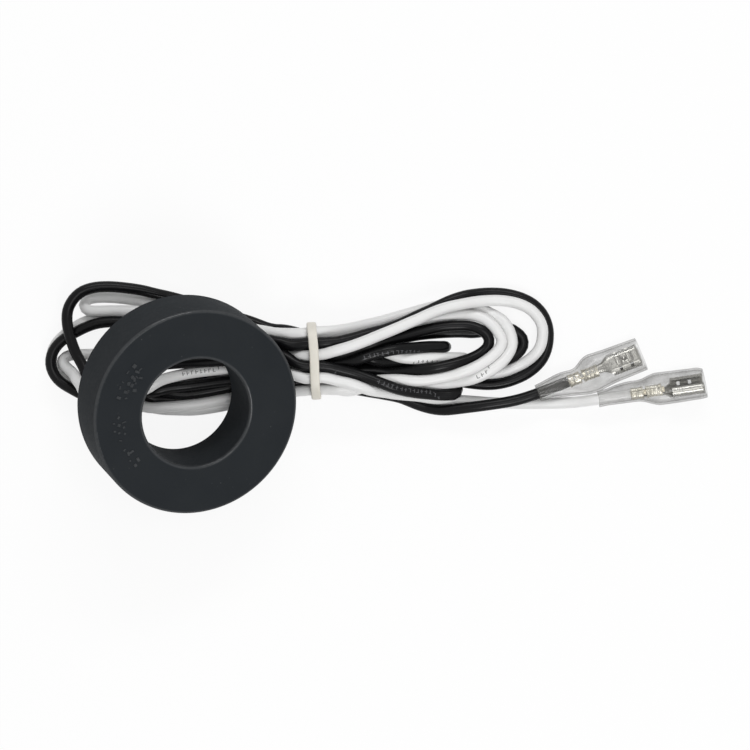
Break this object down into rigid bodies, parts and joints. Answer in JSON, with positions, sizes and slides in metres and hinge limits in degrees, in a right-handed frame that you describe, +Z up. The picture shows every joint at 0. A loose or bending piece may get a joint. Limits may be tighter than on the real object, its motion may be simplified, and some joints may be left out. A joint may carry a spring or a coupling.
{
  "type": "ring current transformer with leads",
  "caption": "Ring-type current transformer lying on its folded black and white leads, which end in sleeved receptacle terminals.",
  "frame": {"origin": "middle of the ring's hole", "axes": "+Z up from the surface that the leads lie on; +X along the hank towards the terminals; +Y across the hank, away from the side that the ring's front faces"},
  "size_m": [0.17, 0.0587, 0.0397],
  "materials": {
    "case_plastic": "satin moulded",
    "potting_resin": "glossy resin",
    "core_steel": "annealed strip",
    "core_tape": "woven tape",
    "winding_copper": "enamelled wire",
    "winding_tape": "film tape",
    "solder": "solder",
    "heat_shrink": "satin",
    "black_wire": "glossy insulation",
    "white_wire": "glossy insulation",
    "band_rubber": "satin",
    "strands": "tinned strands",
    "terminal_metal": "tinned brass",
    "clear_vinyl": "cloudy clear"
  },
  "bodies": {
    "root": {"case": "case_plastic", "potting": "potting_resin", "core": "core_steel", "core_tape": "core_tape", "secondary_winding": "winding_copper", "winding_tape": "winding_tape", "black_splice": "solder", "white_splice": "solder", "black_splice_sleeve": "heat_shrink", "white_splice_sleeve": "heat_shrink", "black_lead_start": "black_wire", "white_lead_start": "white_wire", "lead_hank": "black_wire", "tie_band": "band_rubber", "black_lead_tail": "black_wire", "white_lead_tail": "white_wire", "black_conductor": "strands", "white_conductor": "strands", "black_terminal": "terminal_metal", "white_terminal": "terminal_metal", "black_terminal_sleeve": "clear_vinyl", "white_terminal_sleeve": "clear_vinyl"}
  },
  "joints": []
}
